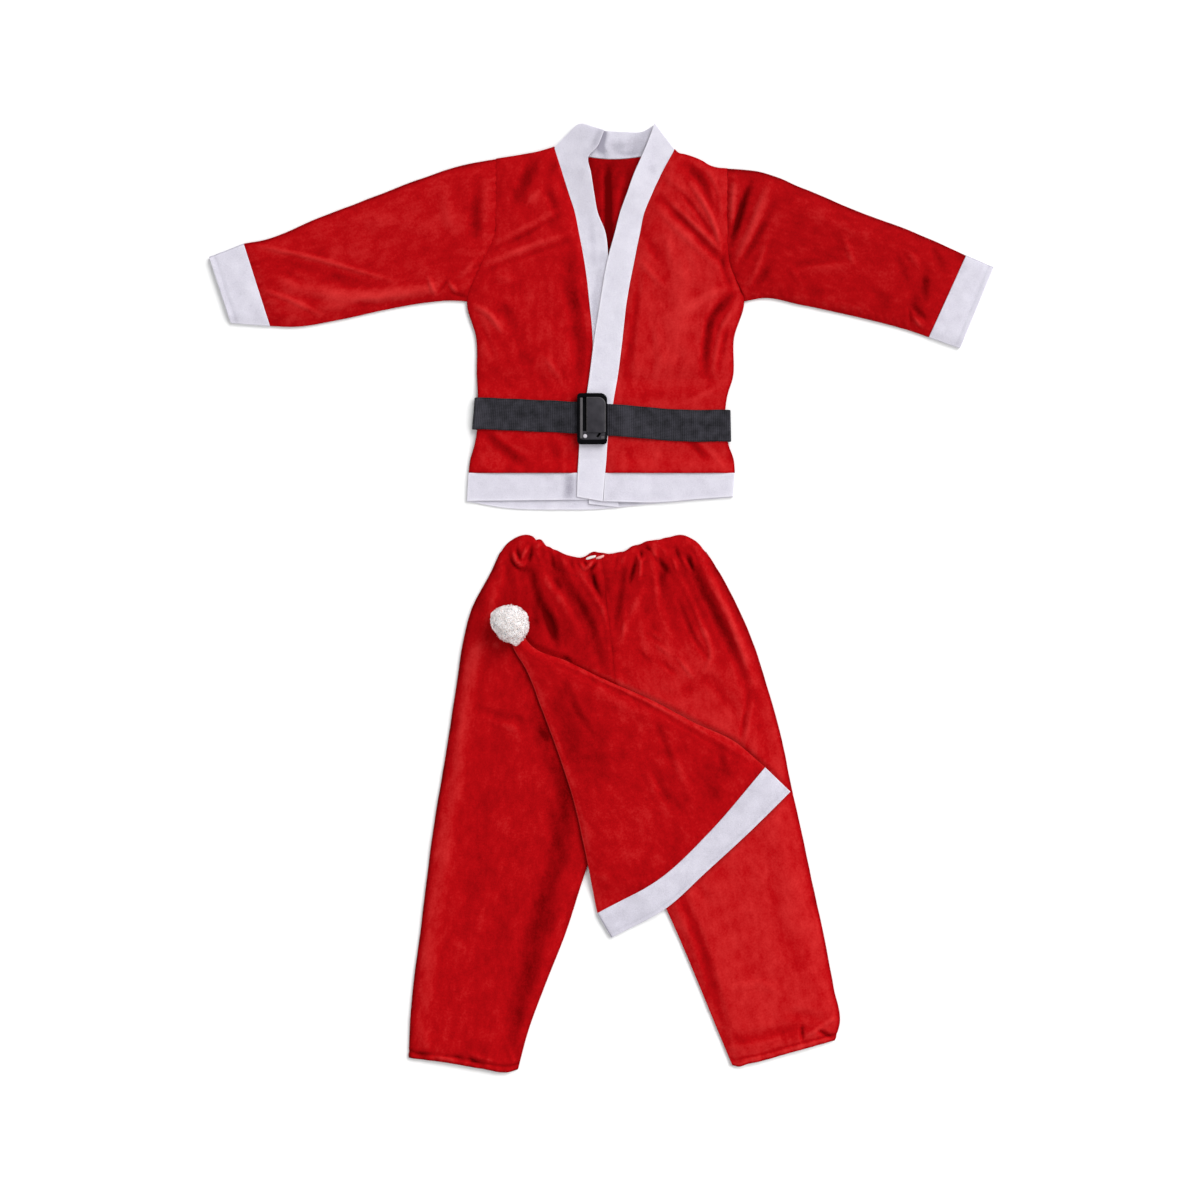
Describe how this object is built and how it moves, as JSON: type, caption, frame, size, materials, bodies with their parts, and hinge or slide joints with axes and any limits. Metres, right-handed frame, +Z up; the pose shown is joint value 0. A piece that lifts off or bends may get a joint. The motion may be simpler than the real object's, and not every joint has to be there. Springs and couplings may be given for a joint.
{
  "type": "santa suit",
  "caption": "Child's santa suit laid flat: open-necked red velour jacket with white felt bands, belt and buckle, trousers, and a hat with a pompom lying on the trousers.",
  "frame": {"origin": "on the surface that the suit lies on, under the middle of the whole layout", "axes": "+X towards the wearer's left, +Y from the trouser hems towards the jacket's neck, +Z up off the surface"},
  "size_m": [0.94, 1.1372, 0.0419],
  "materials": {
    "red_velour": "short napped knit, soft sheen",
    "white_felt": "matt needled felt",
    "black_webbing": "matt woven strap",
    "black_plastic": "glossy moulded",
    "grey_plastic": "satin moulded",
    "white_elastic": "matt ribbed",
    "white_fluff": "loose cut pile"
  },
  "bodies": {
    "root": {"jacket_back": "red_velour", "jacket_front_left": "red_velour", "jacket_front_right": "red_velour", "sleeve_left": "red_velour", "sleeve_right": "red_velour", "cuff_left": "white_felt", "cuff_right": "white_felt", "front_band_left": "white_felt", "front_band_right": "white_felt", "neck_band": "white_felt", "hem_band_back": "white_felt", "hem_band_left": "white_felt", "hem_band_right": "white_felt", "belt": "black_webbing", "buckle_frame": "black_plastic", "buckle_lever": "grey_plastic", "trouser_leg_left": "red_velour", "trouser_leg_right": "red_velour", "waist_elastic": "white_elastic", "hat_body": "red_velour", "hat_band": "white_felt", "hat_pompom": "white_fluff"}
  },
  "joints": []
}
